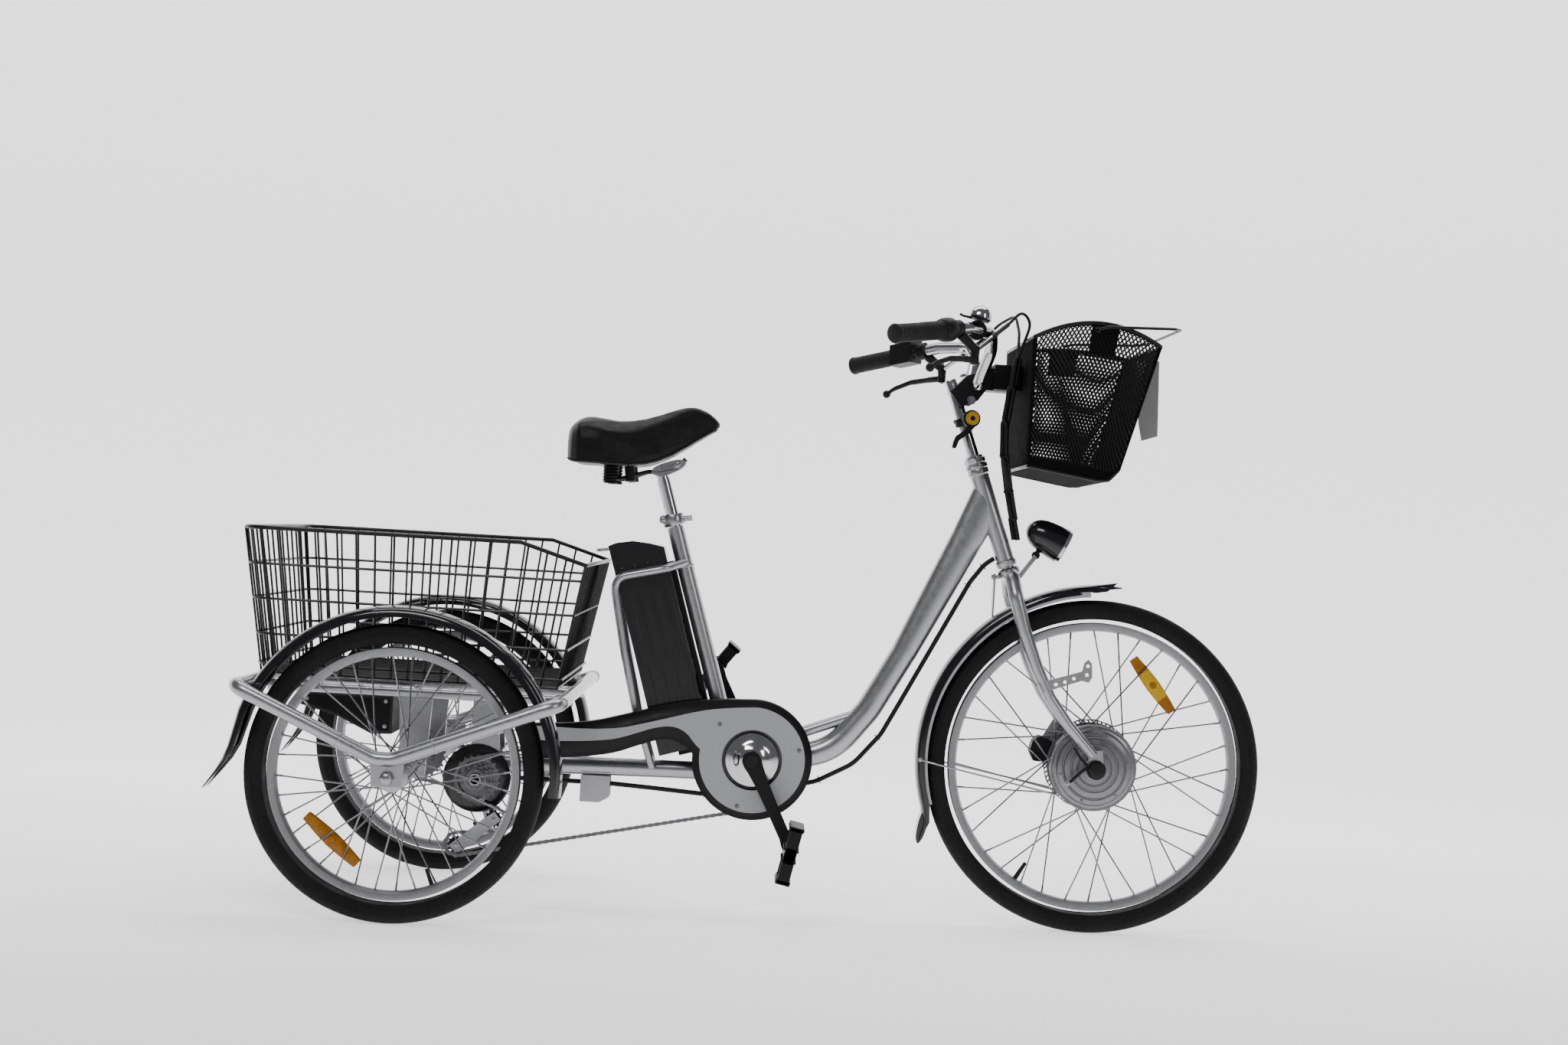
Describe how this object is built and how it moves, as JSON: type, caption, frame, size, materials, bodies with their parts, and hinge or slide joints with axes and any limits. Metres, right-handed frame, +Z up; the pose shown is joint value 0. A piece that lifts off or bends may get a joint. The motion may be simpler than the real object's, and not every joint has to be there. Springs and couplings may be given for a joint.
{
  "type": "adult electric tricycle",
  "caption": "Adult tricycle with a hub-motor front wheel, two rear wheels, a large rear basket, a front basket and a frame-mounted battery.",
  "frame": {"origin": "floor level, under the middle of the tricycle's length and width", "axes": "+X forward, towards the front wheel; +Y to the rider's left; +Z up"},
  "size_m": [1.853, 0.816, 1.1283],
  "materials": {
    "silver_paint": "satin silver paint",
    "chrome": "polished",
    "aluminium": "satin",
    "dark_steel": "dark",
    "black_gloss": "gloss",
    "black_plastic": "matte",
    "black_wire": "powder coat",
    "rubber": "matte",
    "tyre_rubber": "matte",
    "vinyl": "smooth vinyl",
    "grey_plastic": "satin",
    "dark_grey": "satin",
    "lens": "clear"
  },
  "bodies": {
    "frame": {"main_frame": "silver_paint", "seat_clamp": "aluminium", "carrier_frame": "silver_paint", "side_hoop_right": "silver_paint", "side_hoop_left": "silver_paint", "mudguard_rear_right": "black_gloss", "mudguard_rear_left": "black_gloss", "rear_basket": "black_wire", "controller_box": "dark_grey", "battery_dock": "black_plastic", "chain_case_back": "black_gloss", "chain_case_face": "grey_plastic", "drive_chain": "dark_steel", "axle_chain": "dark_steel", "rear_derailleur": "aluminium", "frame_cable": "rubber"},
    "steering": {"fork": "silver_paint", "headset_nut": "aluminium", "front_axle": "rubber", "front_mudguard": "black_gloss", "brake_caliper": "black_plastic", "stem": "chrome", "handlebar": "chrome", "stem_clamp": "black_plastic", "control_unit": "black_plastic", "bell": "chrome", "shifter_body": "black_plastic", "grip_left": "rubber", "grip_right": "rubber", "throttle_housing": "black_plastic", "front_basket": "black_wire", "cable_bundle": "rubber", "brake_bracket_left": "black_plastic", "brake_bracket_right": "black_plastic"},
    "front_wheel": {"tyre_front": "tyre_rubber", "rim_front": "aluminium", "hub_motor": "aluminium", "brake_rotor": "dark_steel"},
    "headlight": {"headlight_shell": "black_gloss", "headlight_lens": "lens"},
    "lever_left": {"brake_lever_left": "black_plastic"},
    "lever_right": {"brake_lever_right": "black_plastic"},
    "throttle": {"throttle_grip": "rubber"},
    "shifter": {"shifter_lever": "black_plastic"},
    "bail": {"basket_handle": "black_wire"},
    "drive_wheel": {"tyre_rear_right": "tyre_rubber", "rim_rear_right": "aluminium", "rear_axle": "dark_steel"},
    "free_wheel": {"tyre_rear_left": "tyre_rubber", "rim_rear_left": "aluminium"},
    "cranks": {"crank_right": "black_plastic", "crank_left": "black_plastic"},
    "pedal_right": {"pedal_right": "black_plastic"},
    "pedal_left": {"pedal_left": "black_plastic"},
    "freewheel": {"freewheel": "dark_steel"},
    "jackshaft": {"jackshaft": "dark_steel"},
    "seat": {"seatpost": "chrome", "saddle": "vinyl"},
    "battery": {"battery": "black_plastic"},
    "battery_handle": {"battery_handle": "aluminium"}
  },
  "joints": [
    {"name": "steering_turn", "type": "hinge", "parent": "frame", "child": "steering", "pos_m": [0.41406, 0, 0.75], "axis": [-0.3483, 0, 0.9374], "range_deg": [-40, 40]},
    {"name": "front_wheel_spin", "type": "hinge", "parent": "steering", "child": "front_wheel", "pos_m": [0.6215, 0, 0.305], "axis": [0, 1, 0], "continuous": true},
    {"name": "headlight_tilt", "type": "hinge", "parent": "steering", "child": "headlight", "pos_m": [0.4975, 0, 0.686], "axis": [0, 1, 0], "range_deg": [-12, 12]},
    {"name": "brake_lever_left_pull", "type": "hinge", "parent": "steering", "child": "lever_left", "pos_m": [0.31906, 0.18923, 1.02226], "axis": [-0.0012, 0.0304, 0.9995], "range_deg": [0, 13], "stiffness_Nm_per_rad": 0.6, "springref_deg": -8.59},
    {"name": "brake_lever_right_pull", "type": "hinge", "parent": "steering", "child": "lever_right", "pos_m": [0.34978, -0.18534, 1.03368], "axis": [0.0012, -0.0304, -0.9995], "range_deg": [0, 13], "stiffness_Nm_per_rad": 0.6, "springref_deg": -8.59},
    {"name": "throttle_twist", "type": "hinge", "parent": "steering", "child": "throttle", "pos_m": [0.26623, -0.24425, 1.06526], "axis": [-0.6996, -0.6997, -0.145], "range_deg": [0, 45], "stiffness_Nm_per_rad": 0.3, "springref_deg": -8.59},
    {"name": "shifter_push", "type": "hinge", "parent": "steering", "child": "shifter", "pos_m": [0.36046, 0.001, 0.92698], "axis": [-0.0817, 0.9962, -0.0304], "range_deg": [-30, 30]},
    {"name": "basket_handle_swing", "type": "hinge", "parent": "steering", "child": "bail", "pos_m": [0.55859, 0.0222, 1.08966], "axis": [-0.0817, 0.9962, -0.0304], "range_deg": [-92, 0]},
    {"name": "drive_wheel_spin", "type": "hinge", "parent": "frame", "child": "drive_wheel", "pos_m": [-0.6055, 0, 0.255], "axis": [0, 1, 0], "continuous": true},
    {"name": "free_wheel_spin", "type": "hinge", "parent": "frame", "child": "free_wheel", "pos_m": [-0.6055, 0, 0.255], "axis": [0, 1, 0], "continuous": true},
    {"name": "crank_turn", "type": "hinge", "parent": "frame", "child": "cranks", "pos_m": [-0.0005, 0, 0.288], "axis": [0, 1, 0], "continuous": true},
    {"name": "pedal_right_spin", "type": "hinge", "parent": "cranks", "child": "pedal_right", "pos_m": [0.07588, 0, 0.13613], "axis": [0, 1, 0], "continuous": true},
    {"name": "pedal_left_spin", "type": "hinge", "parent": "cranks", "child": "pedal_left", "pos_m": [-0.07688, 0, 0.43987], "axis": [0, 1, 0], "continuous": true},
    {"name": "freewheel_spin", "type": "hinge", "parent": "frame", "child": "freewheel", "pos_m": [-0.4975, 0, 0.224], "axis": [0, 1, 0], "continuous": true},
    {"name": "jackshaft_spin", "type": "hinge", "parent": "frame", "child": "jackshaft", "pos_m": [-0.4975, 0, 0.224], "axis": [0, 1, 0], "continuous": true},
    {"name": "saddle_height", "type": "slide", "parent": "frame", "child": "seat", "axis": [-0.297, 0, 0.9549], "range_m": [-0.045, 0.1]},
    {"name": "battery_lift", "type": "slide", "parent": "frame", "child": "battery", "axis": [-0.2907, 0, 0.9568], "range_m": [0, 0.075]},
    {"name": "battery_handle_flip", "type": "hinge", "parent": "battery", "child": "battery_handle", "pos_m": [-0.2866, 0, 0.65194], "axis": [0, 1, 0], "range_deg": [0, 80]}
  ],
  "couplings": [
    {"joint": "freewheel_spin", "follows": "crank_turn", "ratio": 2.4324},
    {"joint": "jackshaft_spin", "follows": "drive_wheel_spin", "ratio": 1.3284}
  ]
}
